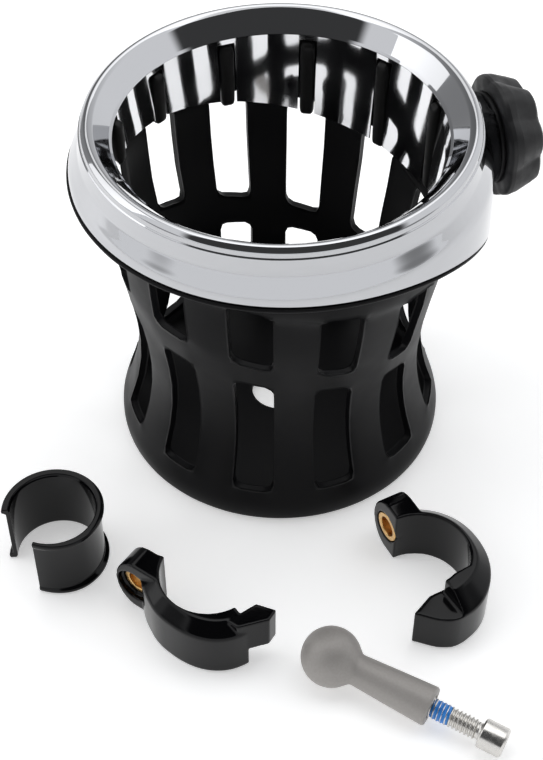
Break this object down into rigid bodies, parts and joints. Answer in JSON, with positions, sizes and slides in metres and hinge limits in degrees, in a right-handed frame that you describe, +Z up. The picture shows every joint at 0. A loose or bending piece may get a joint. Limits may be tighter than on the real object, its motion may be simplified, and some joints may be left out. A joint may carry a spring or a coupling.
{
  "type": "drink holder",
  "caption": "Open basket drink holder with a chrome bezel, rubber grip fins and a side ball socket, laid out beside its ball stud, bolt, hooked bar clamp and reducer sleeve.",
  "frame": {"origin": "on the table, under the centre of the cup basket", "axes": "+Z up out of the cup's mouth, +X towards the side with the ball socket, -Y towards the loose clamp pieces"},
  "size_m": [0.1448, 0.1792, 0.1066],
  "materials": {
    "basket": "satin moulded black plastic",
    "bezel": "bright plated",
    "liner": "polished",
    "rubber": "smooth soft rubber",
    "socket": "satin",
    "knob": "lightly textured",
    "sleeve": "glossy black",
    "clamp": "gloss black coat on cast alloy",
    "bush": "plain",
    "stud": "blasted grey metal",
    "bolt": "bright nickel",
    "patch": "dry nylon thread-lock film"
  },
  "bodies": {
    "holder": {"basket": "basket", "bezel_ring": "bezel", "mirror_liner": "liner", "fin_carrier": "rubber", "ball_socket": "socket", "thrust_collar": "socket"},
    "hand_nut": {"clamp_knob": "knob"},
    "sleeve": {"reducer_sleeve": "sleeve"},
    "left_clamp": {"clamp_half_left": "clamp", "bush_left": "bush"},
    "right_clamp": {"clamp_half_right": "clamp", "bush_right": "bush"},
    "stud": {"ball_stud": "stud"},
    "bolt_thread": {"lock_patch": "patch"},
    "bolt": {"clamp_bolt": "bolt"},
    "fin_01": {"grip_fin_01": "rubber"},
    "fin_02": {"grip_fin_02": "rubber"},
    "fin_03": {"grip_fin_03": "rubber"},
    "fin_04": {"grip_fin_04": "rubber"},
    "fin_05": {"grip_fin_05": "rubber"},
    "fin_06": {"grip_fin_06": "rubber"},
    "fin_07": {"grip_fin_07": "rubber"},
    "fin_08": {"grip_fin_08": "rubber"},
    "fin_09": {"grip_fin_09": "rubber"},
    "fin_10": {"grip_fin_10": "rubber"},
    "fin_11": {"grip_fin_11": "rubber"},
    "fin_12": {"grip_fin_12": "rubber"}
  },
  "joints": [
    {"name": "knob_turn", "type": "hinge", "parent": "holder", "child": "hand_nut", "pos_m": [0.06407, 0.01959, 0.086], "axis": [0.9563, 0.2924, 0], "continuous": true},
    {"name": "fin_01_flex", "type": "hinge", "parent": "holder", "child": "fin_01", "pos_m": [0.04135, 0.01505, 0.0982], "axis": [0.342, -0.9397, 0], "range_deg": [0, 3], "stiffness_Nm_per_rad": 0.3},
    {"name": "fin_02_flex", "type": "hinge", "parent": "holder", "child": "fin_02", "pos_m": [0.02828, 0.03371, 0.0982], "axis": [0.766, -0.6428, 0], "range_deg": [0, 3], "stiffness_Nm_per_rad": 0.3},
    {"name": "fin_03_flex", "type": "hinge", "parent": "holder", "child": "fin_03", "pos_m": [0.00764, 0.04333, 0.0982], "axis": [0.9848, -0.1736, 0], "range_deg": [0, 3], "stiffness_Nm_per_rad": 0.3},
    {"name": "fin_04_flex", "type": "hinge", "parent": "holder", "child": "fin_04", "pos_m": [-0.01505, 0.04135, 0.0982], "axis": [0.9397, 0.342, 0], "range_deg": [0, 3], "stiffness_Nm_per_rad": 0.3},
    {"name": "fin_05_flex", "type": "hinge", "parent": "holder", "child": "fin_05", "pos_m": [-0.03371, 0.02828, 0.0982], "axis": [0.6428, 0.766, 0], "range_deg": [0, 3], "stiffness_Nm_per_rad": 0.3},
    {"name": "fin_06_flex", "type": "hinge", "parent": "holder", "child": "fin_06", "pos_m": [-0.04333, 0.00764, 0.0982], "axis": [0.1736, 0.9848, 0], "range_deg": [0, 3], "stiffness_Nm_per_rad": 0.3},
    {"name": "fin_07_flex", "type": "hinge", "parent": "holder", "child": "fin_07", "pos_m": [-0.04135, -0.01505, 0.0982], "axis": [-0.342, 0.9397, 0], "range_deg": [0, 3], "stiffness_Nm_per_rad": 0.3},
    {"name": "fin_08_flex", "type": "hinge", "parent": "holder", "child": "fin_08", "pos_m": [-0.02828, -0.03371, 0.0982], "axis": [-0.766, 0.6428, 0], "range_deg": [0, 3], "stiffness_Nm_per_rad": 0.3},
    {"name": "fin_09_flex", "type": "hinge", "parent": "holder", "child": "fin_09", "pos_m": [-0.00764, -0.04333, 0.0982], "axis": [-0.9848, 0.1736, 0], "range_deg": [0, 3], "stiffness_Nm_per_rad": 0.3},
    {"name": "fin_10_flex", "type": "hinge", "parent": "holder", "child": "fin_10", "pos_m": [0.01505, -0.04135, 0.0982], "axis": [-0.9397, -0.342, 0], "range_deg": [0, 3], "stiffness_Nm_per_rad": 0.3},
    {"name": "fin_11_flex", "type": "hinge", "parent": "holder", "child": "fin_11", "pos_m": [0.03371, -0.02828, 0.0982], "axis": [-0.6428, -0.766, 0], "range_deg": [0, 3], "stiffness_Nm_per_rad": 0.3},
    {"name": "fin_12_flex", "type": "hinge", "parent": "holder", "child": "fin_12", "pos_m": [0.04333, -0.00764, 0.0982], "axis": [-0.1736, -0.9848, 0], "range_deg": [0, 3], "stiffness_Nm_per_rad": 0.3},
    {"name": "sleeve_lift", "type": "slide", "parent": "holder", "child": "sleeve", "axis": [0, 0, 1], "range_m": [0, 0.12]},
    {"name": "left_clamp_lift", "type": "slide", "parent": "holder", "child": "left_clamp", "axis": [0, 0, 1], "range_m": [0, 0.12]},
    {"name": "right_clamp_lift", "type": "slide", "parent": "holder", "child": "right_clamp", "axis": [0, 0, 1], "range_m": [0, 0.12]},
    {"name": "stud_lift", "type": "slide", "parent": "holder", "child": "stud", "axis": [0, 0, 1], "range_m": [0, 0.12]},
    {"name": "bolt_travel", "type": "slide", "parent": "stud", "child": "bolt_thread", "axis": [0.8772, -0.4743, -0.075], "range_m": [-0.0035, 0.0078]},
    {"name": "bolt_turn", "type": "hinge", "parent": "bolt_thread", "child": "bolt", "pos_m": [0.0436, -0.1139, 0.00536], "axis": [0.8772, -0.4743, -0.075], "range_deg": [-1150, 2560]}
  ],
  "couplings": [
    {"joint": "bolt_turn", "follows": "bolt_travel", "rad_per_m": 5712}
  ]
}
